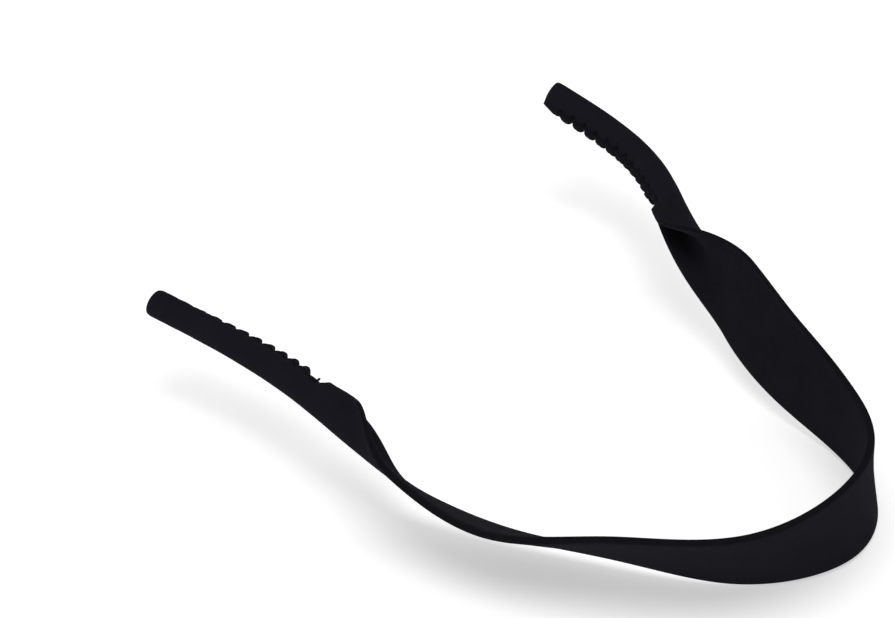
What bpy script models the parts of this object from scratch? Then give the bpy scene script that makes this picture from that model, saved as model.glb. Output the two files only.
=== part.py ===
"""Eyeglass retainer strap, draped as a loop.

One ribbon of neoprene laminate (a foam core between two knit jerseys) is folded lengthwise
at each end and overlocked into a sleeve for a spectacle temple. Past each seam the fold opens
into a channel and then into the wide, flat band that goes round the nape.

Dimensions are in millimetres and degrees. `s` is the length along the ribbon from the left
sleeve's mouth, `v` runs across it from -1 (lower edge) through the crease at 0 to +1 (upper
edge), and `r` is the height over the middle of the thickness, positive on the side that
faces into the loop.
"""

import math

import bpy
import numpy as np

MM = 0.001

# The draped line of the ribbon's crease, from the left mouth round the nape to the right one:
# x, y, z, and how far the width leans outward from upright.
STATIONS = (
    (-71, 87, 27, -32),
    (-68, 48, 22, 0),
    (-72, 14, 19, 30),
    (-66, -24, 11, 55),
    (-54, -50, 13, 45),
    (-37, -73, 13, 33),
    (-9, -82, 15, 7),
    (17, -65, 14, -12),
    (29, -33, 17, 0),
    (42, -4, 21, 7),
    (56, 21, 25, -24),
    (71, 47, 27, -43),
    (70, 78, 35, -52),
)
# Puts the middle of the finished strap's footprint on the origin and its lowest point on z = 0.
ORIGIN_SHIFT = (2.70, -0.93, 0.85)

# Laminate.
CORE_THICKNESS = 1.3
JERSEY_THICKNESS = 0.3
BOND_GAP = 0.05
THICKNESS = CORE_THICKNESS + 2 * (JERSEY_THICKNESS + BOND_GAP)

# Outline of the cut ribbon.
WIDTH_AT_MOUTH = 18.5
WIDTH_AT_NAPE = 30.0
TAPER_START = 41.0
TAPER_END = 166.0
MOUTH_TRIM = 1.4
MOUTH_TRIM_LENGTH = 8.0

# Fold: closed over the seam, then opening until the band is flat. Each side drapes its own way.
LEFT_OPENING = (54.0, 88.0)
RIGHT_OPENING = (53.0, 99.0)
# How far the closed section has turned, at each share of the half width from crease to edge.
FOLD_SHARES = (0.0, 0.61, 0.92, 1.0)
FOLD_TURNS = (0.0, 127.0, 90.0, 90.0)

# Overlock seam.
STITCH_PITCH = 4.2
FIRST_STITCH = 5.4
LEFT_STITCHES = 12
RIGHT_STITCHES = 13
SCALLOP_DEPTH = 1.0
THREAD_RADIUS = 0.2
THREAD_CLEARANCE = 0.12
THREAD_BITE = 1.5
TAIL_LENGTH = 3.0

# Lines across the ribbon where one body ends and the next begins, measured from a mouth.
SLEEVE_JOINT = 100.0
NECK_JOINT = 126.0
NAPE_JOINT = 166.0
JOINT_GAP = 1.2

# Fineness of the solids.
ROW_SPACING = 5.0
SLEEVE_SHARES = (0.0, 0.15, 0.30, 0.46, 0.61, 0.80, 1.0)
BAND_SHARES = (0.0, 1.0)
THREAD_SIDES = 6
PATH_SAMPLES = 2000
SECTION_STEPS = 50


# ---------------------------------------------------------------- the draped line


def natural_spline(knots, values, at):
    """The natural cubic spline through values at knots, evaluated at the places in `at`."""
    gaps = np.diff(knots)
    count = len(knots)
    matrix = np.eye(count)
    target = np.zeros(values.shape)
    for i in range(1, count - 1):
        matrix[i, i - 1] = gaps[i - 1]
        matrix[i, i] = 2 * (gaps[i - 1] + gaps[i])
        matrix[i, i + 1] = gaps[i]
        rise_after = (values[i + 1] - values[i]) / gaps[i]
        rise_before = (values[i] - values[i - 1]) / gaps[i - 1]
        target[i] = 6 * (rise_after - rise_before)
    bends = np.linalg.solve(matrix, target)
    i = np.clip(np.searchsorted(knots, at) - 1, 0, count - 2)
    gap = gaps[i][:, None]
    after = ((at - knots[i]) / gaps[i])[:, None]
    before = 1 - after
    bow = (before**3 - before) * bends[i] + (after**3 - after) * bends[i + 1]
    return before * values[i] + after * values[i + 1] + gap**2 * bow / 6


def unit(vectors):
    return vectors / np.linalg.norm(vectors, axis=-1, keepdims=True)


class Drape:
    """The crease line by arc length, with the directions along, across and into the loop."""

    def __init__(self):
        stations = np.array(STATIONS, float)
        steps = np.linalg.norm(np.diff(stations[:, :3], axis=0), axis=1)
        knots = np.concatenate([[0], np.cumsum(steps)])
        samples = natural_spline(knots, stations, np.linspace(0, knots[-1], PATH_SAMPLES))
        self.points = samples[:, :3] + ORIGIN_SHIFT
        self.leans = np.radians(samples[:, 3])
        pieces = np.linalg.norm(np.diff(self.points, axis=0), axis=1)
        self.lengths = np.concatenate([[0], np.cumsum(pieces)])
        self.length = self.lengths[-1]
        self.slopes = np.gradient(self.points, self.lengths, axis=0)

    def at(self, s):
        """Point, direction along, direction across and direction into the loop at s."""
        point = np.array([np.interp(s, self.lengths, column) for column in self.points.T])
        along = unit(np.array([np.interp(s, self.lengths, column) for column in self.slopes.T]))
        lean = np.interp(s, self.lengths, self.leans)
        upright = unit(np.array([0, 0, 1]) - along * along[2])
        outward = np.cross(along, upright)
        across = math.cos(lean) * upright + math.sin(lean) * outward
        return point, along, across, np.cross(across, along)


DRAPE = Drape()


# ---------------------------------------------------------------- the ribbon's section


def from_mouth(s):
    return min(s, DRAPE.length - s)


def half_width(s):
    share = (from_mouth(s) - TAPER_START) / (TAPER_END - TAPER_START)
    share = min(max(share, 0), 1)
    growth = (WIDTH_AT_NAPE - WIDTH_AT_MOUTH) * math.sin(share * math.pi / 2) ** 2
    return (WIDTH_AT_MOUTH + growth) / 2


def fold(s):
    """1 where the sleeve is closed, 0 where the band is flat."""
    start, end = LEFT_OPENING if s < DRAPE.length / 2 else RIGHT_OPENING
    share = (from_mouth(s) - start) / (end - start)
    share = min(max(share, 0), 1)
    return 1 - share * share * (3 - 2 * share)


def stitch_count(s):
    return LEFT_STITCHES if s < DRAPE.length / 2 else RIGHT_STITCHES


def scallop(s):
    """How far the sewn edge is drawn in at s: most at a stitch, nothing between two."""
    place = (from_mouth(s) - FIRST_STITCH) / STITCH_PITCH
    if not 0 <= place <= stitch_count(s) - 1:
        return 0.0
    return SCALLOP_DEPTH * abs(math.cos(math.pi * place))


def ribbon_point(s, side, distance, r):
    """A point of the ribbon, `distance` out from the crease on one side (+1 or -1)."""
    half = half_width(s)
    shares = np.linspace(0, distance / half, SECTION_STEPS)
    turns = np.radians(fold(s) * np.interp(shares, FOLD_SHARES, FOLD_TURNS))
    step = distance / (SECTION_STEPS - 1)
    middles = (turns[1:] + turns[:-1]) / 2
    turn = turns[-1]
    across = np.cos(middles).sum() * step - r * math.sin(turn)
    inward = np.sin(middles).sum() * step + r * math.cos(turn)
    point, _, width_way, inward_way = DRAPE.at(s)
    return point + side * across * width_way + inward * inward_way


def edge_distance(s):
    """From the crease out to the edge of the ribbon at s, with its corners trimmed at a mouth."""
    trim = MOUTH_TRIM * max(1 - from_mouth(s) / MOUTH_TRIM_LENGTH, 0) ** 2
    return half_width(s) - scallop(s) - trim


# ---------------------------------------------------------------- meshes


def make_object(name, points, faces, origin, material):
    """A mesh object in metres whose origin stands at `origin`."""
    mesh = bpy.data.meshes.new(name)
    local = (np.array(points) - origin) * MM
    mesh.from_pydata(local.tolist(), [], faces)
    mesh.validate()
    mesh.materials.append(material)
    obj = bpy.data.objects.new(name, mesh)
    obj.location = tuple(np.array(origin) * MM)
    bpy.context.scene.collection.objects.link(obj)
    return obj


def shade_smooth(obj):
    for polygon in obj.data.polygons:
        polygon.use_smooth = True


def row_places(start, end):
    """Where the ribbon's rows of points stand: on each stitch and between, and evenly elsewhere."""
    mouth = min(from_mouth(start), from_mouth(end))
    count = max(2, round((end - start) / ROW_SPACING) + 1)
    if mouth > 0:
        return np.linspace(start, end, count)
    stitches = FIRST_STITCH + STITCH_PITCH / 2 * np.arange(2 * stitch_count(start) - 1)
    last = max(from_mouth(start), from_mouth(end))
    count = round((last - stitches[-1]) / ROW_SPACING)
    opening = np.linspace(stitches[-1], last, count + 1)[1:]
    places = np.concatenate([[0], stitches, opening])
    return places if start < DRAPE.length / 2 else DRAPE.length - places[::-1]


def layer(name, start, end, low, high, shares, origin, material):
    """One layer of the laminate from `start` to `end`, between the heights `low` and `high`."""
    places = row_places(start, end)
    ladder = [(-1, share) for share in reversed(shares[1:])] + [(1, share) for share in shares]
    columns = len(ladder)
    points = []
    for r in (low, high):
        for s in places:
            edge = edge_distance(s)
            points += [ribbon_point(s, side, share * edge, r) for side, share in ladder]
    skin = len(places) * columns

    def at(level, row, column):
        return level * skin + row * columns + column

    faces = []
    for row in range(len(places) - 1):
        for column in range(columns - 1):
            for level in (0, 1):
                a = at(level, row, column)
                b = at(level, row, column + 1)
                c = at(level, row + 1, column + 1)
                d = at(level, row + 1, column)
                faces += [(a, b, c), (a, c, d)] if level else [(a, c, b), (a, d, c)]
    rim = [at(0, 0, column) for column in range(columns)]
    rim += [at(0, row, columns - 1) for row in range(1, len(places))]
    rim += [at(0, len(places) - 1, column) for column in range(columns - 2, -1, -1)]
    rim += [at(0, row, 0) for row in range(len(places) - 2, 0, -1)]
    for a, b in zip(rim, rim[1:] + rim[:1]):
        faces += [(a, b, b + skin), (a, b + skin, a + skin)]
    return make_object(name, points, faces, origin, material)


def tube(name, line, radius, origin, material):
    """A closed tube along a line of points, mitred where the line turns."""
    line = np.array(line)
    ways = unit(np.diff(line, axis=0))
    tangents = unit(np.concatenate([ways[:1], ways[1:] + ways[:-1], ways[-1:]]))
    side = unit(np.cross(ways[0], [0.3, 0.5, 0.8]))
    angles = np.arange(THREAD_SIDES) * 2 * math.pi / THREAD_SIDES
    ring = side[None] * np.cos(angles)[:, None]
    ring = line[0] + radius * (ring + np.cross(ways[0], side)[None] * np.sin(angles)[:, None])
    points = [ring]
    for i in range(1, len(line)):
        # Each ring is the last one slid along the run until it meets the plane of the turn.
        along = ways[i - 1]
        slide = ((line[i] - ring) @ tangents[i]) / (along @ tangents[i])
        ring = ring + slide[:, None] * along
        points.append(ring)
    points = np.concatenate(points)
    faces = [tuple(range(THREAD_SIDES))[::-1]]
    faces.append(tuple(range(len(points) - THREAD_SIDES, len(points))))
    for start in range(0, len(points) - THREAD_SIDES, THREAD_SIDES):
        for k in range(THREAD_SIDES):
            after = (k + 1) % THREAD_SIDES
            a, b = start + k, start + after
            faces.append((a, b, b + THREAD_SIDES, a + THREAD_SIDES))
    obj = make_object(name, points, faces, origin, material)
    shade_smooth(obj)
    return obj


def seam_line(mirror):
    """The overlock thread: over the sewn edge at each stitch, then along to the next one."""
    height = THICKNESS / 2 + THREAD_CLEARANCE + THREAD_RADIUS
    over = 2 * THREAD_CLEARANCE + THREAD_RADIUS
    line = []
    count = RIGHT_STITCHES if mirror else LEFT_STITCHES
    for stitch in range(count):
        s = FIRST_STITCH + stitch * STITCH_PITCH
        s = DRAPE.length - s if mirror else s
        edge = edge_distance(s)
        wrap = [
            ribbon_point(s, 1, edge - THREAD_BITE, -height),
            ribbon_point(s, 1, edge + over, -height),
            ribbon_point(s, -1, edge + over, -height),
            ribbon_point(s, -1, edge - THREAD_BITE, -height),
        ]
        line += wrap if stitch % 2 == 0 else wrap[::-1]
    _, along, across, inward = DRAPE.at(s)
    end_side = 1 if count % 2 == 0 else -1
    away = -along if mirror else along
    line.append(line[-1] + TAIL_LENGTH * unit(away + inward + end_side * across))
    return line


# ---------------------------------------------------------------- the strap


def make_material(name, colour, roughness):
    material = bpy.data.materials.new(name)
    material.use_nodes = True
    shader = material.node_tree.nodes["Principled BSDF"]
    shader.inputs["Base Color"].default_value = (*colour, 1)
    shader.inputs["Roughness"].default_value = roughness
    shader.inputs["Metallic"].default_value = 0
    material.diffuse_color = (*colour, 1)
    return material


def bodies():
    """Name, start, end, joint line and shares of each rigid length of the strap."""
    half_gap = JOINT_GAP / 2
    lines = (SLEEVE_JOINT, NECK_JOINT, NAPE_JOINT)
    for side in ("left", "right"):
        starts = (0, SLEEVE_JOINT + half_gap, NECK_JOINT + half_gap)
        for part, start, line in zip(("sleeve", "neck", "band"), starts, lines):
            end = line - half_gap
            shares = SLEEVE_SHARES if part == "sleeve" else BAND_SHARES
            if side == "left":
                yield f"{side}_{part}", start, end, line, shares
            else:
                total = DRAPE.length
                yield f"{side}_{part}", total - end, total - start, total - line, shares
    start = NAPE_JOINT + half_gap
    yield "nape_band", start, DRAPE.length - start, DRAPE.length / 2, BAND_SHARES


def build():
    foam = make_material("foam_rubber", (0.035, 0.035, 0.037), 0.85)
    outer = make_material("outer_jersey", (0.012, 0.012, 0.014), 0.8)
    inner = make_material("inner_jersey", (0.016, 0.016, 0.018), 0.85)
    thread = make_material("seam_thread", (0.01, 0.01, 0.011), 0.6)
    core = CORE_THICKNESS / 2
    skin = core + BOND_GAP
    face = skin + JERSEY_THICKNESS
    for name, start, end, joint, shares in bodies():
        origin = DRAPE.at(joint)[0]
        layer(f"{name}_foam_core", start, end, -core, core, shares, origin, foam)
        layer(f"{name}_outer_jersey", start, end, -face, -skin, shares, origin, outer)
        layer(f"{name}_inner_jersey", start, end, skin, face, shares, origin, inner)
    for side, mirror in (("left", False), ("right", True)):
        joint = DRAPE.length - SLEEVE_JOINT if mirror else SLEEVE_JOINT
        origin = DRAPE.at(joint)[0]
        tube(f"{side}_seam_thread", seam_line(mirror), THREAD_RADIUS, origin, thread)


for obj in list(bpy.data.objects):
    bpy.data.objects.remove(obj)
build()
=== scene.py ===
"""Looks of the eyeglass retainer strap: knit neoprene, cut foam edges and overlock thread.

Everything is built on the same ribbon as the CAD solids. Three coordinates run through the
file:

s  length along the ribbon from the left sleeve's mouth
u  signed distance across it from the crease
r  height over the middle of its thickness, positive on the side that faces into the loop

Ribbon and camera dimensions are in millimetres and degrees. The meshes, the lamp and the floor
are in metres.
"""

import math

import bpy
import numpy as np
from mathutils import Matrix, Vector


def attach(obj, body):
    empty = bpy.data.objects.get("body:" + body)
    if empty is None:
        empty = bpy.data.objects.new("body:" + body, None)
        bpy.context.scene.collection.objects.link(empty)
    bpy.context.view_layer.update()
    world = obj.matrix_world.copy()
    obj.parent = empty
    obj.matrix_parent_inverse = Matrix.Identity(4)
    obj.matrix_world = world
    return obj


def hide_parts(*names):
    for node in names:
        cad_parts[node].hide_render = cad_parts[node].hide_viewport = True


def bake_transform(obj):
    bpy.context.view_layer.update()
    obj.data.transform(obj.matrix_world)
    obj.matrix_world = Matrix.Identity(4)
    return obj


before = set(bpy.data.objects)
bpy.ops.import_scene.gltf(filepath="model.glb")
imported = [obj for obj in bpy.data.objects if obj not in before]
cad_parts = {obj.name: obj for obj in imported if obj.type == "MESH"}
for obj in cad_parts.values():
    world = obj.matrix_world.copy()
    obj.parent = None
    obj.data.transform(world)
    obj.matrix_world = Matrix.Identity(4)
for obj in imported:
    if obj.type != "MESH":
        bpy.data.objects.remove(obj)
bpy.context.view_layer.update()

MM = 0.001

# ---- the ribbon, as in the CAD

# The draped line of the crease, from the left mouth round the nape to the right one:
# x, y, z, and how far the width leans outward from upright.
STATIONS = (
    (-71, 87, 27, -32),
    (-68, 48, 22, 0),
    (-72, 14, 19, 30),
    (-66, -24, 11, 55),
    (-54, -50, 13, 45),
    (-37, -73, 13, 33),
    (-9, -82, 15, 7),
    (17, -65, 14, -12),
    (29, -33, 17, 0),
    (42, -4, 21, 7),
    (56, 21, 25, -24),
    (71, 47, 27, -43),
    (70, 78, 35, -52),
)
ORIGIN_SHIFT = (2.70, -0.93, 0.85)
LINE_SAMPLES = 2000
WIDTH_AT_MOUTH = 18.5
WIDTH_AT_NAPE = 30.0
TAPER_START = 41.0
TAPER_END = 166.0
MOUTH_TRIM = 1.4
MOUTH_TRIM_LENGTH = 8.0

# Fold: closed over the seam, then opening until the band is flat.
LEFT_OPENING = (54.0, 88.0)
RIGHT_OPENING = (53.0, 99.0)
# How far the closed section has turned, at each share of the half width from crease to edge.
FOLD_SHARES = (0.0, 0.61, 0.92, 1.0)
FOLD_TURNS = (0.0, 127.0, 90.0, 90.0)
# The section is worked out a little past the edge, for the cloth and thread that stand out.
SHARE_LIMIT = 1.25
SHARE_STEPS = 200

STITCH_PITCH = 4.2
FIRST_STITCH = 5.4
LEFT_STITCHES = 12
RIGHT_STITCHES = 13

# ---- laminate
# Heights over the middle of its faces and of the bonds, and half the gap at a bond.
FACE = 1.0
BOND = 0.68
GROOVE = 0.02
# The cut edge: how far each layer bulges, and how the faces round over towards it.
JERSEY_BULGE = 0.03
FOAM_BULGE = 0.1
EDGE_SOFTNESS = 0.2
SOFT_REACH = 1.0
WEAR_REACH = 1.6
# Heights of the low waves over the faces, which die out this far from the edge.
SLOW_WAVE = 0.05
QUICK_WAVE = 0.02
WAVE_MARGIN = 3.0

# ---- sewn edge
# How the seam starts and ends, in stitches: where it sets in, and over how long.
SEAM_START = 0.9
SEAM_START_FADE = 1.6
SEAM_END = 0.4
SEAM_END_FADE = 0.5
# The edge's outline: valleys at the stitches and lobes between them.
SCALLOP_DEPTH = 1.7
SCALLOP_UNEVENNESS = 0.16
LOBE_LEAN = 0.06
LOBE_SHARPNESS = 1.25
# Shares by which the fin closes up all along, closes further at a stitch and opens between two.
FIN_CLOSE = 0.07
PINCH = 0.34
PUFF = 0.05
PINCH_WIDTH = 0.6
PINCH_REACH = 3.4
# Height and reach of the puckers that run in from the stitches.
PUCKER = 0.18
PUCKER_REACH = 7.0

# ---- thread
THREAD_RADIUS = 0.17
# Each stitch goes in this far from the edge, as two strands this far to either side of it.
THREAD_BITE = 1.5
BITE_UNEVENNESS = 0.15
THREAD_SPREAD = 0.22
# The twist: strands, length of a turn, and depth of the grooves as a share of the radius.
THREAD_PLIES = 3
THREAD_LAY = 1.2
THREAD_GROOVE = 0.18
THREAD_SIDES = 12
THREAD_STEP = 0.13
THREAD_END_TAPER = 0.55
THREAD_END_RINGS = 1.2
# The snipped chain of thread at the last stitch: how far on along the seam and in from the edge.
TAIL_STEPS = ((-1.0, 0.8), (-1.1, 0.1), (-1.2, -0.5), (-1.4, -1.1), (-1.5, -1.5))
RIGHT_TAIL_STEPS = TAIL_STEPS[:3]
TAIL_RADIUS = 0.3

# ---- fineness of the cloth meshes
LAYER_COLUMNS = 71
COLUMN_CROWDING = 1.35
BULGE_STEPS = 3
MOUTH_ROWS = (0, 0.12, 0.3, 0.5, 0.75)
SEAM_ROWS_START = 1.05
ROWS_PER_STITCH = 14
FLARE_ROW_GAP = 0.8
BAND_ROW_GAP = 0.9
SHARP_ANGLE = 50.0

# ---- where one cloth piece ends and the next begins, measured from a mouth
SLEEVE_PIECE_END = 108.0
NECK_PIECE_END = 146.0

# ---- colours, and the sizes of knit and strands
OUTER_JERSEY_DARK = (0.0054, 0.0049, 0.0076, 1)
OUTER_JERSEY_LIGHT = (0.0150, 0.0140, 0.0202, 1)
INNER_JERSEY_DARK = (0.0054, 0.0049, 0.0074, 1)
INNER_JERSEY_LIGHT = (0.0154, 0.0144, 0.0200, 1)
SHEEN_TINT = (0.75, 0.72, 0.9, 1)
LINT = (0.06, 0.06, 0.065, 1)
FOAM_DARK = (0.0028, 0.0028, 0.0034, 1)
FOAM_LIGHT = (0.0085, 0.0083, 0.0102, 1)
FOAM_CLOUD = (0.0105, 0.0103, 0.0125, 1)
THREAD_DARK = (0.002, 0.002, 0.0026, 1)
THREAD_LIGHT = (0.0075, 0.0072, 0.0095, 1)
FLOOR_DARK = (0.86, 0.86, 0.86, 1)
FLOOR_LIGHT = (0.88, 0.88, 0.88, 1)
WHITE = (1, 1, 1, 1)
# The UV map holds lengths on the cloth in units of this many millimetres, so the scale of a
# noise on it counts features per 100 mm. On object coordinates it counts them per metre.
UV_UNIT = 100
KNIT_COURSE = 0.52
KNIT_WALE = 0.46
STRAND_LENGTH = 0.09

# ---- stage, light and camera
# The floor is a softly lit table, so that shadows stay pale.
FLOOR_REACH = 6.0
FLOOR_DROP = 0.0004
FLOOR_GLOW = 0.45
AMBIENT = 0.38
KEY_POWER = 13
KEY_PLACE = (-0.4, -0.3, 1.65)
KEY_SIZE = 1.2
CAMERA_AZIMUTH = -46.94
CAMERA_ELEVATION = 32.92
CAMERA_ROLL = 0.16
CAMERA_DISTANCE = 785.0
CAMERA_TARGET = (10.04, 59.17, 0.85)
CAMERA_LENS = 120.8
CAMERA_SENSOR = 36
CAMERA_NEAR = 10


# ------------------------------------------------------------------ the draped line


def smoothstep(x):
    x = np.clip(x, 0, 1)
    return x * x * (3 - 2 * x)


def unit(vectors):
    return vectors / np.linalg.norm(vectors, axis=-1, keepdims=True)


def natural_spline(knots, values, at):
    """The natural cubic spline through values at knots, evaluated at the places in `at`."""
    gaps = np.diff(knots)
    count = len(knots)
    matrix = np.eye(count)
    target = np.zeros(values.shape)
    for i in range(1, count - 1):
        matrix[i, i - 1] = gaps[i - 1]
        matrix[i, i] = 2 * (gaps[i - 1] + gaps[i])
        matrix[i, i + 1] = gaps[i]
        rise_after = (values[i + 1] - values[i]) / gaps[i]
        rise_before = (values[i] - values[i - 1]) / gaps[i - 1]
        target[i] = 6 * (rise_after - rise_before)
    bends = np.linalg.solve(matrix, target)
    i = np.clip(np.searchsorted(knots, at) - 1, 0, count - 2)
    gap = gaps[i][:, None]
    after = ((at - knots[i]) / gaps[i])[:, None]
    before = 1 - after
    bow = (before**3 - before) * bends[i] + (after**3 - after) * bends[i + 1]
    return before * values[i] + after * values[i + 1] + gap**2 * bow / 6


class Drape:
    """The crease line by arc length, with the directions along, across and into the loop."""

    def __init__(self):
        stations = np.array(STATIONS, float)
        steps = np.linalg.norm(np.diff(stations[:, :3], axis=0), axis=1)
        knots = np.concatenate([[0], np.cumsum(steps)])
        samples = natural_spline(knots, stations, np.linspace(0, knots[-1], LINE_SAMPLES))
        self.points = samples[:, :3] + ORIGIN_SHIFT
        self.leans = np.radians(samples[:, 3])
        pieces = np.linalg.norm(np.diff(self.points, axis=0), axis=1)
        self.lengths = np.concatenate([[0], np.cumsum(pieces)])
        self.length = self.lengths[-1]
        self.slopes = np.gradient(self.points, self.lengths, axis=0)

    def at(self, s):
        """Points, directions along, across and into the loop, at an array of lengths."""
        s = np.atleast_1d(s)
        point = np.stack([np.interp(s, self.lengths, c) for c in self.points.T], -1)
        along = unit(np.stack([np.interp(s, self.lengths, c) for c in self.slopes.T], -1))
        lean = np.interp(s, self.lengths, self.leans)[:, None]
        upright = unit(np.array([0, 0, 1]) - along * along[:, 2:])
        outward = np.cross(along, upright)
        across = np.cos(lean) * upright + np.sin(lean) * outward
        # Past the mouth the line runs on straight.
        over = (s - np.clip(s, 0, self.length))[:, None]
        return point + over * along, along, across, np.cross(across, along)


DRAPE = Drape()
TOTAL = DRAPE.length


# ------------------------------------------------------------------ the ribbon's outline


def from_mouth(s):
    return np.clip(np.minimum(s, TOTAL - s), 0, None)


def half_width(s):
    """Half the width the ribbon is cut to, before its edge is drawn in."""
    share = np.clip((from_mouth(s) - TAPER_START) / (TAPER_END - TAPER_START), 0, 1)
    growth = (WIDTH_AT_NAPE - WIDTH_AT_MOUTH) * np.sin(share * math.pi / 2) ** 2
    return (WIDTH_AT_MOUTH + growth) / 2


def fold(s):
    """1 where the sleeve is closed, 0 where the band is flat."""
    left = s < TOTAL / 2
    start = np.where(left, LEFT_OPENING[0], RIGHT_OPENING[0])
    end = np.where(left, LEFT_OPENING[1], RIGHT_OPENING[1])
    return 1 - smoothstep((from_mouth(s) - start) / (end - start))


def stitch_place(s):
    """The length from the nearer mouth counted in stitches, 0 at the first one."""
    return (from_mouth(s) - FIRST_STITCH) / STITCH_PITCH


def stitch_count(s):
    return np.where(s < TOTAL / 2, LEFT_STITCHES, RIGHT_STITCHES)


def uneven(index, seed):
    """A steady small unevenness from -1 to 1 for each stitch, as hand-guided sewing has."""
    # The factors share no period, so no two stitches come out alike.
    return np.sin(index * 12.9898 + seed * 4.1414) * np.cos(index * 7.233 + seed * 2.3)


def seam_strength(s):
    """1 along the seam, fading out at both of its ends."""
    place = stitch_place(s)
    rise = smoothstep((place + SEAM_START) / SEAM_START_FADE)
    fall = smoothstep((stitch_count(s) - SEAM_END - place) / SEAM_END_FADE)
    return rise * fall


def scallop(s):
    """How far the sewn edge is drawn in: a sharp valley at each stitch, a round lobe between.

    It stays drawn in between the last two stitches, where the seam is sewn back on itself.
    """
    place = stitch_place(s)
    leaning = place + LOBE_LEAN * np.sin(2 * math.pi * place)
    has_lobe = place < stitch_count(s) - 2
    lobe = np.abs(np.sin(math.pi * leaning)) ** LOBE_SHARPNESS * has_lobe
    stitch = np.floor(place + 0.5)
    seed = 1.0 + (s > TOTAL / 2)
    depth = SCALLOP_DEPTH * (1 + SCALLOP_UNEVENNESS * uneven(stitch, seed))
    return depth * (1 - lobe) * seam_strength(s)


def edge_distance(s):
    """From the crease out to the cut edge, with its corners trimmed at a mouth."""
    trim = MOUTH_TRIM * np.clip(1 - from_mouth(s) / MOUTH_TRIM_LENGTH, 0, None) ** 2
    return half_width(s) - scallop(s) - trim


# ------------------------------------------------------------------ the ribbon's section


def section_table(s):
    """Across and inward distances and the turn, by share of the half width, for each s."""
    shares = np.linspace(0, SHARE_LIMIT, SHARE_STEPS)
    turns = np.radians(np.interp(shares, FOLD_SHARES, FOLD_TURNS))[None] * fold(s)[:, None]
    middles = (turns[:, 1:] + turns[:, :-1]) / 2
    step = half_width(s)[:, None] * (shares[1] - shares[0])
    zero = np.zeros((len(s), 1))
    across = np.concatenate([zero, np.cumsum(np.cos(middles) * step, axis=1)], axis=1)
    inward = np.concatenate([zero, np.cumsum(np.sin(middles) * step, axis=1)], axis=1)
    return across, inward, turns


def lookup(table, places):
    """Values between the columns of a table, at fractional column numbers."""
    low = np.clip(np.floor(places).astype(int), 0, SHARE_STEPS - 2)
    part = places - low
    before = np.take_along_axis(table, low, axis=1)
    after = np.take_along_axis(table, low + 1, axis=1)
    return before + (after - before) * part


def pinch(s, distance):
    """How far the thread squeezes the sewn fin together at each point."""
    place = stitch_place(s)[:, None]
    from_stitch = (place - np.round(place)) * STITCH_PITCH
    at_stitch = np.exp(-((from_stitch / PINCH_WIDTH) ** 2))
    strength = seam_strength(s)[:, None]
    depth = edge_distance(s)[:, None] - distance
    reach = smoothstep(1 - depth / PINCH_REACH)
    squeeze = FIN_CLOSE + strength * (PINCH * at_stitch - PUFF * (1 - at_stitch))
    return squeeze * reach * fold(s)[:, None]


def ripple(s, u):
    """Low waves of the cloth over its face, with puckers that run in from the stitches."""
    # The wave lengths have no common multiple, so the waves don't repeat.
    slow = np.sin(s / 7.3 + 0.21 * u) * np.sin(u / 5.1 + s / 23.0 + 1.3)
    quick = np.sin(s / 2.9 + 0.5 * u + 0.7) * np.sin(u / 2.3 - s / 6.1)
    place = stitch_place(s)
    depth = edge_distance(s) - np.abs(u)
    # Each pucker wanders a little to one side as it runs in.
    wander = 0.05 * depth * np.sin(3.7 * np.round(place))
    pull = np.cos(2 * math.pi * (place + wander))
    reach = smoothstep(1 - depth / PUCKER_REACH) * seam_strength(s)
    return SLOW_WAVE * slow + QUICK_WAVE * quick + PUCKER * pull * reach


def ribbon(s, u, r):
    """Points of the ribbon: s is (n,), u and r are (n, m)."""
    s = np.asarray(s, float)
    distance = np.abs(u)
    places = distance / half_width(s)[:, None] / SHARE_LIMIT * (SHARE_STEPS - 1)
    across_table, inward_table, turn_table = section_table(s)
    turn = lookup(turn_table, places)
    across = lookup(across_table, places) - r * np.sin(turn)
    inward = lookup(inward_table, places) + r * np.cos(turn)
    across = across * (1 - pinch(s, distance))
    point, _, width_way, inward_way = DRAPE.at(s)
    side = np.where(u < 0, -1.0, 1.0) * across
    sideways = side[..., None] * width_way[:, None]
    return point[:, None] + sideways + inward[..., None] * inward_way[:, None]


def softened(s, u, r):
    """r with the laminate's faces rounded over towards the cut edge and the mouth."""
    to_edge = edge_distance(s)[:, None] - np.abs(u)
    to_mouth = from_mouth(s)[:, None] * np.ones_like(u)
    keep = 1.0
    for gap in (to_edge, to_mouth):
        near = 1 - np.clip(gap / SOFT_REACH, 0, 1)
        keep = keep * (1 - EDGE_SOFTNESS * near**2)
    waves = ripple(s[:, None], u) * smoothstep(to_edge / WAVE_MARGIN)
    return r * keep + waves


# ------------------------------------------------------------------ cloth meshes


def mesh_object(name, points, faces, material, maps):
    """A mesh from points in mm. `maps` gives a length and a breadth on the cloth per point."""
    mesh = bpy.data.meshes.new(name)
    mesh.from_pydata((points * MM).tolist(), [], faces)
    mesh.validate()
    mesh.materials.append(material)
    corners = np.empty(len(mesh.loops), np.int32)
    mesh.loops.foreach_get("vertex_index", corners)
    layer = mesh.uv_layers.new(name="cloth")
    layer.data.foreach_set("uv", (maps[corners] / UV_UNIT).astype(np.float32).ravel())
    mesh.polygons.foreach_set("use_smooth", np.ones(len(mesh.polygons), bool))
    obj = bpy.data.objects.new(name, mesh)
    bpy.context.scene.collection.objects.link(obj)
    mesh.set_sharp_from_angle(angle=math.radians(SHARP_ANGLE))
    return obj


def point_attribute(obj, name, values):
    attribute = obj.data.attributes.new(name, "FLOAT", "POINT")
    attribute.data.foreach_set("value", values.astype(np.float32).ravel())


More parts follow.
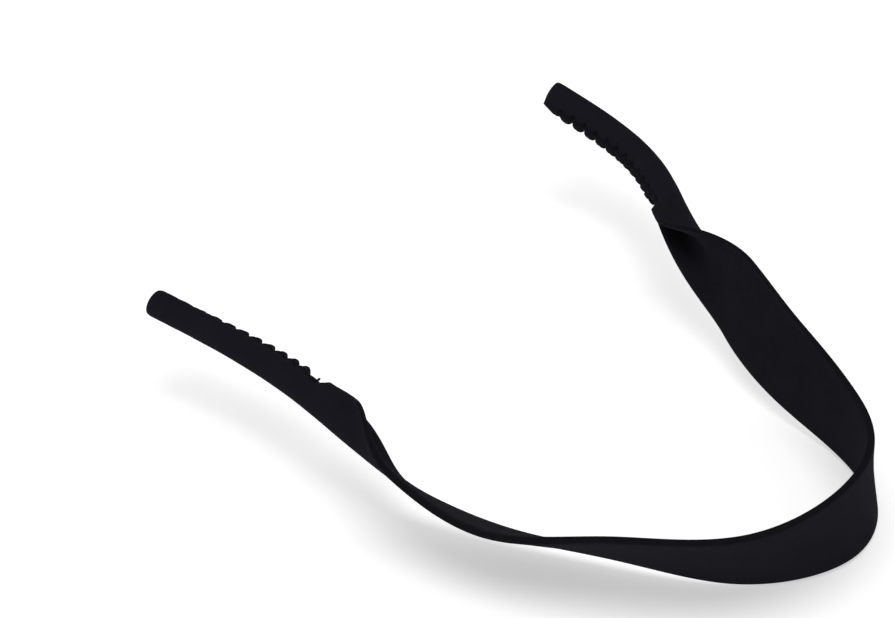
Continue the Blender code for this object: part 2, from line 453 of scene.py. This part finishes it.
def rows_between(start, end):
    """Rows along the ribbon: fine at the mouth and over the seam, wider on the plain band."""
    near, far = sorted((min(start, TOTAL - start), min(end, TOTAL - end)))
    if near == 0:
        seam_end = FIRST_STITCH + STITCH_PITCH * (RIGHT_STITCHES + 0.5)
        seam_rows = round((seam_end - SEAM_ROWS_START) / (STITCH_PITCH / ROWS_PER_STITCH))
        flare_rows = round((far - seam_end) / FLARE_ROW_GAP)
        seam = np.linspace(SEAM_ROWS_START, seam_end, seam_rows)
        flare = np.linspace(seam_end, far, flare_rows)[1:]
        rows = np.concatenate([MOUTH_ROWS, seam, flare])
    else:
        rows = np.linspace(near, far, round((far - near) / BAND_ROW_GAP) + 1)
    return rows if start < TOTAL / 2 else TOTAL - rows[::-1]


def column_shares():
    """Shares of the half width from -1 to 1, closer together towards the two edges."""
    x = np.linspace(-1, 1, LAYER_COLUMNS)
    return np.sin(x * COLUMN_CROWDING) / math.sin(COLUMN_CROWDING)


def layer_outline(s, low, high, bulge):
    """Where the skin of a layer lies, once round its section, at each row: u and r."""
    edge = edge_distance(s)[:, None]
    middle = edge * column_shares()[None]
    steps = (np.arange(BULGE_STEPS) + 1) / (BULGE_STEPS + 1)
    ones = np.ones_like(edge)
    out = ones * bulge * np.sin(math.pi * steps)[None]
    rise = ones * (low + (high - low) * steps[None])
    u = np.concatenate([middle, edge + out, middle[:, ::-1], -edge - out[:, ::-1]], axis=1)
    lower = np.full_like(middle, low)
    upper = np.full_like(middle, high)
    r = np.concatenate([lower, rise, upper, rise[:, ::-1]], axis=1)
    return u, r


def end_cap(ring, flip):
    """Faces that close a ring: a strip between its two skins and one face at each edge."""
    edge_start = LAYER_COLUMNS - 1
    upper_start = LAYER_COLUMNS + BULGE_STEPS
    upper_end = upper_start + LAYER_COLUMNS
    low = ring[:LAYER_COLUMNS]
    high = ring[upper_start:upper_end][::-1]
    faces = [(low[i], low[i + 1], high[i + 1], high[i]) for i in range(edge_start)]
    faces.append(ring[edge_start : upper_start + 1])
    faces.append(list(ring[upper_end - 1 :]) + [ring[0]])
    faces = [tuple(int(i) for i in face) for face in faces]
    return [face[::-1] for face in faces] if flip else faces


def layer_faces(rows, ring):
    """Faces of a layer, all turned outwards: the skin between its rows and two end caps."""
    index = np.arange(rows * ring).reshape(rows, ring)
    after = np.roll(index, -1, axis=1)
    skin = np.stack([index[:-1], index[1:], after[1:], after[:-1]], -1).reshape(-1, 4)
    return skin.tolist() + end_cap(index[0], False) + end_cap(index[-1], True)


def cloth_layer(name, start, end, low, high, bulge, material):
    """A closed layer of the laminate between the heights `low` and `high`."""
    s = rows_between(start, end)
    u, r = layer_outline(s, low, high, bulge)
    points = ribbon(s, u, softened(s, u, r)).reshape(-1, 3)
    rows, ring = u.shape
    maps = np.stack([np.repeat(s[:, None], ring, axis=1), u], -1).reshape(-1, 2)
    obj = mesh_object(name, points, layer_faces(rows, ring), material, maps)
    to_edge = edge_distance(s)[:, None] - np.abs(u)
    to_mouth = from_mouth(s)[:, None] * np.ones_like(u)
    point_attribute(obj, "wear", 1 - smoothstep(np.minimum(to_edge, to_mouth) / WEAR_REACH))
    # Painted light: 1 where the sleeve is closed, so the jersey there is painted paler.
    point_attribute(obj, "sleeve_painted_light", fold(s)[:, None] * np.ones_like(u))
    return obj


# ------------------------------------------------------------------ thread meshes


def smoothed(line, rounds):
    """Cuts a line's corners, keeping its ends."""
    for _ in range(rounds):
        inner = np.empty((2 * len(line) - 2, 3))
        inner[0::2] = 0.75 * line[:-1] + 0.25 * line[1:]
        inner[1::2] = 0.25 * line[:-1] + 0.75 * line[1:]
        line = np.concatenate([line[:1], inner, line[-1:]])
    return line


def resampled(line, spacing):
    """A line's points at even spacing, and the length along it at each."""
    pieces = np.linalg.norm(np.diff(line, axis=0), axis=1)
    lengths = np.concatenate([[0], np.cumsum(pieces)])
    at = np.linspace(0, lengths[-1], round(lengths[-1] / spacing) + 1)
    return np.stack([np.interp(at, lengths, column) for column in line.T], -1), at


def twisted_tube(line, radius):
    """The rings of a twisted thread along a line, the length at each and the angles round it."""
    line, lengths = resampled(smoothed(line, 2), THREAD_STEP)
    tangents = unit(np.gradient(line, axis=0))
    # The first side is square to the line and otherwise free.
    side = unit(np.cross(tangents[0], [0.31, 0.52, 0.79]))
    angles = np.arange(THREAD_SIDES) * 2 * math.pi / THREAD_SIDES
    rings = []
    for i, tangent in enumerate(tangents):
        side = unit(side - tangent * (side @ tangent))
        other = np.cross(tangent, side)
        from_end = min(i, len(line) - 1 - i)
        size = radius * (1 - THREAD_END_TAPER * math.exp(-from_end / THREAD_END_RINGS))
        twist = angles - 2 * math.pi * lengths[i] / THREAD_LAY
        size = size * (1 + THREAD_GROOVE * np.cos(THREAD_PLIES * twist))
        out = np.outer(size * np.cos(angles), side) + np.outer(size * np.sin(angles), other)
        rings.append(line[i] + out)
    return np.array(rings), lengths, angles


def thread_object(name, lines, material):
    """Several threads as one object, each a closed tube. `lines` holds (line, radius) pairs."""
    points, faces, maps = [], [], []
    start = 0
    for line, radius in lines:
        rings, lengths, angles = twisted_tube(line, radius)
        count, sides = rings.shape[:2]
        index = start + np.arange(count * sides).reshape(count, sides)
        after = np.roll(index, -1, axis=1)
        skin = np.stack([index[:-1], after[:-1], after[1:], index[1:]], -1).reshape(-1, 4)
        faces += skin.tolist() + [index[0][::-1].tolist(), index[-1].tolist()]
        points.append(rings.reshape(-1, 3))
        maps.append(np.stack([np.repeat(lengths, sides), np.tile(angles, count)], -1))
        start += count * sides
    return mesh_object(name, np.concatenate(points), faces, material, np.concatenate(maps))


def seam_point(length, side, depth, rise, mirror):
    """A point `depth` in from the sewn edge and `rise` out over the middle of the laminate.

    `length` runs from the left mouth, or from the right one if `mirror` is set.
    """
    s = np.array([TOTAL - length if mirror else length])
    u = side * (edge_distance(s)[:, None] - depth)
    r = np.array([[-rise]]) + ripple(s[:, None], u) * smoothstep(depth / WAVE_MARGIN)
    return ribbon(s, u, r)[0, 0]


def looper_line(side, mirror):
    """One overlock thread: along one face, with a loop out over the edge at each stitch."""
    height = FACE + THREAD_RADIUS
    count = RIGHT_STITCHES if mirror else LEFT_STITCHES
    line = []
    for stitch in range(count):
        length = FIRST_STITCH + stitch * STITCH_PITCH
        bite = THREAD_BITE + BITE_UNEVENNESS * uneven(stitch, 5.0 + side)
        # Depth in from the edge and rise over the middle, from the needle hole out and down.
        loop = ((bite, height), (0.6, height), (-0.2, 0.75), (-0.22, -0.2), (-0.2, -1.0))
        for depth, rise in loop:
            line.append(seam_point(length - THREAD_SPREAD, side, depth, rise, mirror))
        for depth, rise in reversed(loop):
            line.append(seam_point(length + THREAD_SPREAD, side, depth, rise, mirror))
        if stitch < count - 1:
            for part in (0.15, 0.3, 0.5, 0.7, 0.85):
                between = length + part * STITCH_PITCH
                line.append(seam_point(between, side, bite, height, mirror))
    return np.array(line)


def tail_line(mirror):
    """The snipped end of the overlock chain, which stands up from the edge; short at right."""
    count = RIGHT_STITCHES if mirror else LEFT_STITCHES
    length = FIRST_STITCH + (count - 1) * STITCH_PITCH
    steps = RIGHT_TAIL_STEPS if mirror else TAIL_STEPS
    return np.array([seam_point(length + on, 1, depth, 0.0, mirror) for on, depth in steps])


# ------------------------------------------------------------------ materials


class Nodes:
    """Short calls for building a material's node tree."""

    def __init__(self, name):
        self.material = bpy.data.materials.new(name)
        self.material.use_nodes = True
        self.tree = self.material.node_tree
        self.shader = self.tree.nodes["Principled BSDF"]

    def node(self, kind, **settings):
        made = self.tree.nodes.new(kind)
        for key, value in settings.items():
            setattr(made, key, value)
        return made

    def link(self, out, into):
        self.tree.links.new(out, into)

    def put(self, value, into):
        """Links an output to an input, or sets the input to a plain value."""
        if hasattr(value, "links"):
            self.link(value, into)
        else:
            into.default_value = value

    def math(self, operation, a, b=0.0, c=0.0):
        made = self.node("ShaderNodeMath", operation=operation)
        for value, into in zip((a, b, c), made.inputs):
            self.put(value, into)
        return made.outputs[0]

    def noise(self, vector, scale, detail=2.0, roughness=0.5):
        made = self.node("ShaderNodeTexNoise")
        self.link(vector, made.inputs["Vector"])
        made.inputs["Scale"].default_value = scale
        made.inputs["Detail"].default_value = detail
        made.inputs["Roughness"].default_value = roughness
        return made.outputs["Fac"]

    def span(self, value, low, high, to_low, to_high):
        """Maps the range low..high to to_low..to_high and holds its ends."""
        made = self.node("ShaderNodeMapRange", clamp=True)
        for into, given in zip(made.inputs, (value, low, high, to_low, to_high)):
            self.put(given, into)
        return made.outputs[0]

    def mix(self, factor, a, b):
        made = self.node("ShaderNodeMix", data_type="RGBA")
        self.put(factor, made.inputs["Factor"])
        self.put(a, made.inputs[6])
        self.put(b, made.inputs[7])
        return made.outputs[2]

    def bump(self, height, distance, strength):
        made = self.node("ShaderNodeBump")
        made.inputs["Strength"].default_value = strength
        made.inputs["Distance"].default_value = distance
        self.link(height, made.inputs["Height"])
        return made.outputs["Normal"]

    def attribute(self, name):
        return self.node("ShaderNodeAttribute", attribute_name=name).outputs["Fac"]

    def cloth_map(self):
        """The UV map as a vector, and its two parts."""
        cloth = self.node("ShaderNodeUVMap", uv_map="cloth").outputs["UV"]
        parts = self.node("ShaderNodeSeparateXYZ")
        self.link(cloth, parts.inputs[0])
        return cloth, parts.outputs["X"], parts.outputs["Y"]

    def set(self, **values):
        for key, value in values.items():
            self.put(value, self.shader.inputs[key.replace("_", " ")])


def knit_height(n, along, across):
    """A jersey stitch: two leaning legs to each wale, repeated at every course."""
    fraction = n.math("FRACT", n.math("DIVIDE", across, KNIT_WALE))
    leg = n.math("ABSOLUTE", n.math("SUBTRACT", fraction, 0.5))
    ridge = n.math("SINE", n.math("MULTIPLY", leg, 2 * math.pi))
    course = n.math("DIVIDE", along, KNIT_COURSE)
    place = n.math("ADD", course, n.math("MULTIPLY", leg, 1.3))
    loops = n.math("COSINE", n.math("MULTIPLY", place, 2 * math.pi))
    loops = n.math("MULTIPLY_ADD", loops, 0.3, 0.7)
    return n.math("MULTIPLY", ridge, loops)


def jersey_material(name, dark, light):
    """Matte knit with cloudy dye, fuzz, lint, rubbed edges, and painted light that makes the
    closed sleeve paler.
    """
    n = Nodes(name)
    cloth, along, across = n.cloth_map()
    along = n.math("MULTIPLY", along, UV_UNIT)
    across = n.math("MULTIPLY", across, UV_UNIT)
    wobble = n.noise(cloth, 60)
    across = n.math("ADD", across, n.math("MULTIPLY", wobble, 0.35))
    knit = knit_height(n, along, across)
    cloudy = n.noise(cloth, 9, 4.0, 0.6)
    fibre = n.noise(cloth, 900, 2.0, 0.7)
    lint = n.span(n.noise(cloth, 210, 1.0), 0.77, 0.82, 0.0, 0.45)
    patchy = n.span(n.noise(cloth, 330, 2.0), 0.5, 0.7, 0.05, 0.7)
    rubbed = n.math("MULTIPLY", n.attribute("wear"), patchy)
    # From dark to light: clouds, then the knit's ridges, fibres, rubbed edges and painted light
    # on the closed sleeve.
    shade = n.span(cloudy, 0.3, 0.7, 0.0, 0.35)
    shade = n.math("MULTIPLY_ADD", knit, 0.35, shade)
    shade = n.math("MULTIPLY_ADD", fibre, 0.3, shade)
    shade = n.math("ADD", shade, rubbed)
    # Painted light: the closed sleeve's colour is raised towards the light end, standing in for
    # brighter light on it.
    shade = n.math("MULTIPLY_ADD", n.attribute("sleeve_painted_light"), 0.22, shade)
    colour = n.mix(shade, dark, light)
    n.set(Base_Color=n.mix(lint, colour, LINT))
    n.set(Roughness=n.span(cloudy, 0.3, 0.7, 0.85, 0.97))
    n.set(Specular_IOR_Level=0.012)
    n.set(Sheen_Weight=0.004, Sheen_Roughness=0.5, Sheen_Tint=SHEEN_TINT)
    relief = n.math("MULTIPLY_ADD", fibre, 0.35, knit)
    n.set(Normal=n.bump(relief, 0.00006, 0.8))
    return n.material


def foam_material():
    """Fine closed cells with paler and darker patches."""
    n = Nodes("foam_rubber")
    place = n.node("ShaderNodeTexCoord").outputs["Object"]
    cells = n.node("ShaderNodeTexVoronoi", feature="F1")
    n.link(place, cells.inputs["Vector"])
    cells.inputs["Scale"].default_value = 5200
    pores = n.span(cells.outputs["Distance"], 0.15, 0.55, 0.0, 1.0)
    cloudy = n.span(n.noise(place, 400, 3.0), 0.35, 0.7, 0.0, 0.5)
    n.set(Base_Color=n.mix(cloudy, n.mix(pores, FOAM_DARK, FOAM_LIGHT), FOAM_CLOUD))
    n.set(Roughness=0.95, Specular_IOR_Level=0.03)
    n.set(Normal=n.bump(pores, 0.00005, 0.9))
    return n.material


def thread_material():
    """Slanting strands with a low gloss."""
    n = Nodes("seam_thread")
    cloth, along, around = n.cloth_map()
    lengthwise = n.math("MULTIPLY", along, UV_UNIT * 2 * math.pi / STRAND_LENGTH)
    turned = n.math("MULTIPLY", around, UV_UNIT * THREAD_PLIES)
    slant = n.math("ADD", lengthwise, turned)
    strands = n.math("MULTIPLY_ADD", n.math("SINE", slant), 0.5, 0.5)
    fuzz = n.noise(cloth, 700, 2.0, 0.6)
    n.set(Base_Color=n.mix(strands, THREAD_DARK, THREAD_LIGHT))
    n.set(Roughness=n.span(fuzz, 0.3, 0.7, 0.5, 0.72), Specular_IOR_Level=0.08)
    n.set(Sheen_Weight=0.01)
    n.set(Normal=n.bump(strands, 0.00003, 0.7))
    return n.material


# ------------------------------------------------------------------ the strap


def span_of(side, near, far):
    """The start and end in s of a stretch measured from one side's mouth."""
    return (near, far) if side == "left" else (TOTAL - far, TOTAL - near)


def joint_blend(piece):
    """Bakes a piece's placement into its mesh; the piece is not bent across a joint."""
    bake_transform(piece)


def add_cloth(side, zones, layers):
    """Every layer of every zone of one side, each with its placement baked into its mesh."""
    for zone, near, far, near_body, far_body in zones:
        for layer, slot, low, high, bulge, material in layers:
            start, end = span_of(side, near, far)
            name = f"{side}_{zone}_{layer}_cloth"
            piece = cloth_layer(name, start, end, low, high, bulge, material)
            joint_blend(piece)
            nodes = [f"{side}_{zone}_{layer}"]
            if zone == "band":
                nodes.append(f"nape_band_{layer}")
            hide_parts(*nodes)


def add_thread(side, material):
    """A side's two looper threads and its snipped tail."""
    mirror = side == "right"
    lines = [(looper_line(way, mirror), THREAD_RADIUS) for way in (1, -1)]
    lines.append((tail_line(mirror), TAIL_RADIUS))
    seam = thread_object(f"{side}_seam_thread_twist", lines, material)
    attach(seam, f"{side}_sleeve")
    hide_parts(f"{side}_seam_thread")


def build_strap():
    outer = jersey_material("outer_jersey", OUTER_JERSEY_DARK, OUTER_JERSEY_LIGHT)
    inner = jersey_material("inner_jersey", INNER_JERSEY_DARK, INNER_JERSEY_LIGHT)
    foam = foam_material()
    thread = thread_material()
    layers = (
        ("outer_jersey", "outer_jersey", -FACE, -BOND - GROOVE, JERSEY_BULGE, outer),
        ("foam_core", "foam_rubber", -BOND + GROOVE, BOND - GROOVE, FOAM_BULGE, foam),
        ("inner_jersey", "inner_jersey", BOND + GROOVE, FACE, JERSEY_BULGE, inner),
    )
    for side in ("left", "right"):
        zones = (
            ("sleeve", 0.0, SLEEVE_PIECE_END, f"{side}_sleeve", f"{side}_neck"),
            ("neck", SLEEVE_PIECE_END, NECK_PIECE_END, f"{side}_neck", f"{side}_band"),
            ("band", NECK_PIECE_END, TOTAL / 2, f"{side}_band", "nape_band"),
        )
        add_cloth(side, zones, layers)
        add_thread(side, thread)


# ------------------------------------------------------------------ stage, light and camera


def build_floor():
    n = Nodes("pale_floor")
    place = n.node("ShaderNodeTexCoord").outputs["Object"]
    n.set(Base_Color=n.mix(n.noise(place, 12), FLOOR_DARK, FLOOR_LIGHT))
    n.set(Roughness=0.9, Specular_IOR_Level=0.1)
    n.set(Emission_Color=WHITE, Emission_Strength=FLOOR_GLOW)
    mesh = bpy.data.meshes.new("floor")
    signs = ((-1, -1), (1, -1), (1, 1), (-1, 1))
    corners = [(FLOOR_REACH * x, FLOOR_REACH * y, 0) for x, y in signs]
    mesh.from_pydata(corners, [], [(0, 1, 2, 3)])
    mesh.materials.append(n.material)
    floor = bpy.data.objects.new("floor", mesh)
    floor.location.z = -FLOOR_DROP
    bpy.context.scene.collection.objects.link(floor)


def build_light():
    """One large soft lamp over the strap, and an even white surround."""
    scene = bpy.context.scene
    world = bpy.data.worlds.new("studio")
    world.use_nodes = True
    background = world.node_tree.nodes["Background"]
    background.inputs["Color"].default_value = WHITE
    background.inputs["Strength"].default_value = AMBIENT
    scene.world = world
    data = bpy.data.lights.new("key", "AREA")
    data.shape = "DISK"
    data.size = KEY_SIZE
    data.energy = KEY_POWER
    light = bpy.data.objects.new("key", data)
    light.location = KEY_PLACE
    light.rotation_euler = (-Vector(KEY_PLACE)).to_track_quat("-Z", "Y").to_euler()
    scene.collection.objects.link(light)
    scene.view_settings.view_transform = "Standard"
    scene.view_settings.look = "None"


def build_camera():
    azimuth = math.radians(CAMERA_AZIMUTH)
    elevation = math.radians(CAMERA_ELEVATION)
    back = Vector(
        (
            math.sin(azimuth) * math.cos(elevation),
            -math.cos(azimuth) * math.cos(elevation),
            math.sin(elevation),
        )
    )
    right = Vector((math.cos(azimuth), math.sin(azimuth), 0))
    up = back.cross(right)
    data = bpy.data.cameras.new("camera")
    data.lens = CAMERA_LENS
    data.sensor_width = CAMERA_SENSOR
    data.clip_start = CAMERA_NEAR * MM
    camera = bpy.data.objects.new("camera", data)
    place = (Vector(CAMERA_TARGET) + CAMERA_DISTANCE * back) * MM
    turn = Matrix((right, up, back)).transposed().to_4x4()
    roll = Matrix.Rotation(math.radians(CAMERA_ROLL), 4, "Z")
    camera.matrix_world = Matrix.Translation(place) @ turn @ roll
    bpy.context.scene.collection.objects.link(camera)
    bpy.context.scene.camera = camera


build_strap()
build_floor()
build_light()
build_camera()
